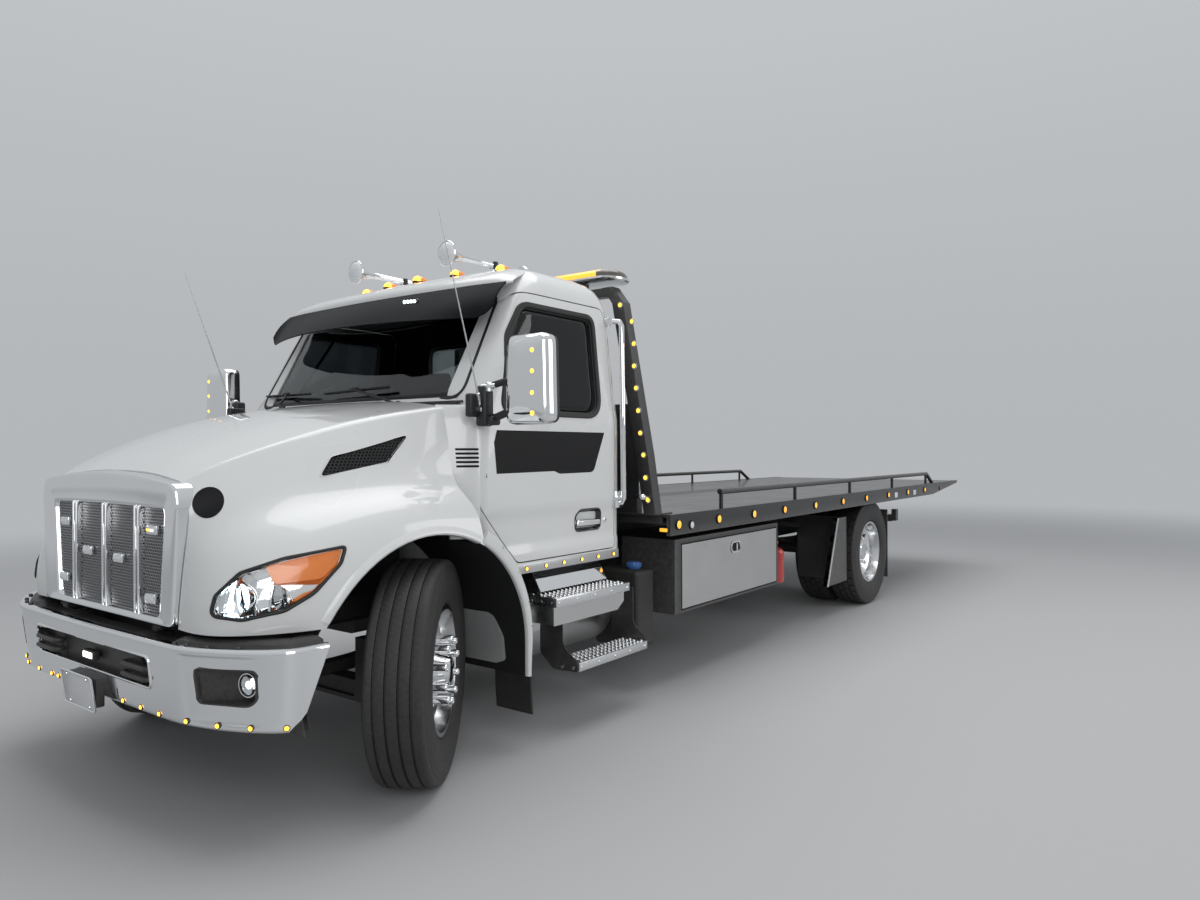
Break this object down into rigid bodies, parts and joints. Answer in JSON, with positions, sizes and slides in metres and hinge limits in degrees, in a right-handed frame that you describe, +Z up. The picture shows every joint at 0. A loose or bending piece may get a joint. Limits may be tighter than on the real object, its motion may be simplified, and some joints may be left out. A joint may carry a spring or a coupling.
{
  "type": "tow truck",
  "caption": "Rollback tow truck: conventional cab on two axles with a tilting, sliding bed, toolboxes and a stowed wheel lift.",
  "frame": {"origin": "on the ground under the middle of the truck's overall length and width", "axes": "+X towards the truck's left (driver's) side, +Y towards its tail, +Z up"},
  "size_m": [2.96, 9.9098, 2.752],
  "materials": {
    "red_paint": "gloss red paint",
    "white_paint": "gloss white body paint",
    "black_paint": "satin black chassis paint",
    "engine_grey": "grey castings",
    "chrome": "bright plate",
    "aluminium": "bright tread plate and sheet",
    "alloy_wheel": "polished",
    "tyre": "moulded rubber",
    "glass": "tinted glass",
    "smoked_visor": "smoked acrylic",
    "amber_lens": "amber lens",
    "red_lens": "red lens",
    "black_plastic": "grained moulding",
    "seat_cloth": "woven cloth"
  },
  "bodies": {
    "chassis": {"frame_rails": "black_paint", "front_axle": "black_paint", "rear_axle": "black_paint", "engine": "engine_grey", "radiator": "engine_grey", "driveshaft": "black_paint", "exhaust": "aluminium", "fuel_tank": "aluminium", "side_tanks": "black_paint", "cab_steps": "aluminium", "front_bumper": "chrome", "cab_shell": "white_paint", "cab_glass": "glass", "cowl_skirts": "white_paint", "sun_visor": "smoked_visor", "roof_lamps": "amber_lens", "air_horns": "chrome", "mirrors": "chrome", "antennas": "black_plastic", "grab_handles": "chrome", "dashboard": "black_plastic", "seats": "seat_cloth", "toolboxes": "black_paint", "rear_guards": "black_paint", "tail_lamps": "red_lens", "fire_extinguisher": "red_paint"},
    "hood": {"hood": "white_paint", "grille": "chrome", "headlamps": "glass"},
    "door_left": {"door_left": "white_paint", "door_glass_left": "glass"},
    "knuckle_left": {"knuckle_left": "black_paint"},
    "front_wheel_left": {"front_tyre_left": "tyre", "front_rim_left": "alloy_wheel"},
    "rear_wheels_left": {"rear_tyres_left": "tyre", "rear_rims_left": "alloy_wheel"},
    "toolbox_door_left": {"toolbox_door_left": "aluminium"},
    "door_right": {"door_right": "white_paint", "door_glass_right": "glass"},
    "knuckle_right": {"knuckle_right": "black_paint"},
    "front_wheel_right": {"front_tyre_right": "tyre", "front_rim_right": "alloy_wheel"},
    "rear_wheels_right": {"rear_tyres_right": "tyre", "rear_rims_right": "alloy_wheel"},
    "toolbox_door_right": {"toolbox_door_right": "aluminium"},
    "tilt_frame": {"tilt_frame": "black_paint"},
    "bed": {"bed": "black_paint", "side_rails": "black_paint", "slide_rod": "chrome", "headboard": "black_paint", "light_bar": "amber_lens", "winch": "black_paint"},
    "winch_drum": {"winch_drum": "black_paint"},
    "lift_barrels": {"lift_barrels": "black_paint"},
    "lift_rods": {"lift_rods": "chrome"},
    "underlift_boom": {"underlift_boom": "black_paint"},
    "underlift_stinger": {"underlift_stinger": "black_paint"},
    "underlift_crossbar": {"underlift_crossbar": "black_paint"}
  },
  "joints": [
    {"name": "hood_tilt", "type": "hinge", "parent": "chassis", "child": "hood", "pos_m": [0, -4.845, 0.803], "axis": [1, 0, 0], "range_deg": [0, 75]},
    {"name": "door_left_hinge", "type": "hinge", "parent": "chassis", "child": "door_left", "pos_m": [1.06, -3.545, 1.5], "axis": [0, 0, -1], "range_deg": [0, 60]},
    {"name": "steer_left", "type": "hinge", "parent": "chassis", "child": "knuckle_left", "pos_m": [0.901, -4.005, 0.515], "axis": [0, 0, 1], "range_deg": [-76, 4]},
    {"name": "front_wheel_left_spin", "type": "hinge", "parent": "knuckle_left", "child": "front_wheel_left", "pos_m": [1.01831, -3.91977, 0.515], "axis": [0.809, 0.5878, 0], "continuous": true},
    {"name": "rear_wheels_left_spin", "type": "hinge", "parent": "chassis", "child": "rear_wheels_left", "pos_m": [0.928, 1.745, 0.515], "axis": [1, 0, 0], "continuous": true},
    {"name": "toolbox_door_left_hinge", "type": "hinge", "parent": "chassis", "child": "toolbox_door_left", "pos_m": [1.2, -1.138, 0.498], "axis": [0, 1, 0], "range_deg": [0, 90]},
    {"name": "door_right_hinge", "type": "hinge", "parent": "chassis", "child": "door_right", "pos_m": [-1.06, -3.545, 1.5], "axis": [0, 0, 1], "range_deg": [0, 60]},
    {"name": "steer_right", "type": "hinge", "parent": "chassis", "child": "knuckle_right", "pos_m": [-0.901, -4.005, 0.515], "axis": [0, 0, 1], "range_deg": [-76, 4]},
    {"name": "front_wheel_right_spin", "type": "hinge", "parent": "knuckle_right", "child": "front_wheel_right", "pos_m": [-1.01831, -4.09023, 0.515], "axis": [0.809, 0.5878, 0], "continuous": true},
    {"name": "rear_wheels_right_spin", "type": "hinge", "parent": "chassis", "child": "rear_wheels_right", "pos_m": [-0.928, 1.745, 0.515], "axis": [1, 0, 0], "continuous": true},
    {"name": "toolbox_door_right_hinge", "type": "hinge", "parent": "chassis", "child": "toolbox_door_right", "pos_m": [-1.2, -1.138, 0.498], "axis": [0, -1, 0], "range_deg": [0, 90]},
    {"name": "bed_tilt", "type": "hinge", "parent": "chassis", "child": "tilt_frame", "pos_m": [0, 3.055, 0.85], "axis": [-1, 0, 0], "range_deg": [0, 12]},
    {"name": "bed_slide", "type": "slide", "parent": "tilt_frame", "child": "bed", "axis": [0, 1, 0], "range_m": [0, 3]},
    {"name": "winch_drum_spin", "type": "hinge", "parent": "bed", "child": "winch_drum", "pos_m": [0, -1.825, 1.29], "axis": [1, 0, 0], "continuous": true},
    {"name": "lift_barrels_pivot", "type": "hinge", "parent": "chassis", "child": "lift_barrels", "pos_m": [0, 0.895, 0.72], "axis": [-1, 0, 0], "range_deg": [0, 31.17]},
    {"name": "lift_rods_stroke", "type": "slide", "parent": "lift_barrels", "child": "lift_rods", "axis": [0, -0.9666, 0.2562], "range_m": [0, 0.25883]},
    {"name": "underlift_lower", "type": "hinge", "parent": "tilt_frame", "child": "underlift_boom", "pos_m": [0, 3.195, 0.64], "axis": [1, 0, 0], "range_deg": [-10, 0]},
    {"name": "underlift_extend", "type": "slide", "parent": "underlift_boom", "child": "underlift_stinger", "axis": [0, -1, 0], "range_m": [-0.75, 0]},
    {"name": "underlift_swivel", "type": "hinge", "parent": "underlift_stinger", "child": "underlift_crossbar", "pos_m": [0, 4.555, 0.64], "axis": [0, 0, 1], "range_deg": [-20, 20]}
  ],
  "couplings": [
    {"joint": "steer_right", "follows": "steer_left", "ratio": 1},
    {"joint": "lift_barrels_pivot", "follows": "bed_tilt", "ratio": 2.5555},
    {"joint": "lift_rods_stroke", "follows": "bed_tilt", "m_per_rad": 1.212}
  ]
}
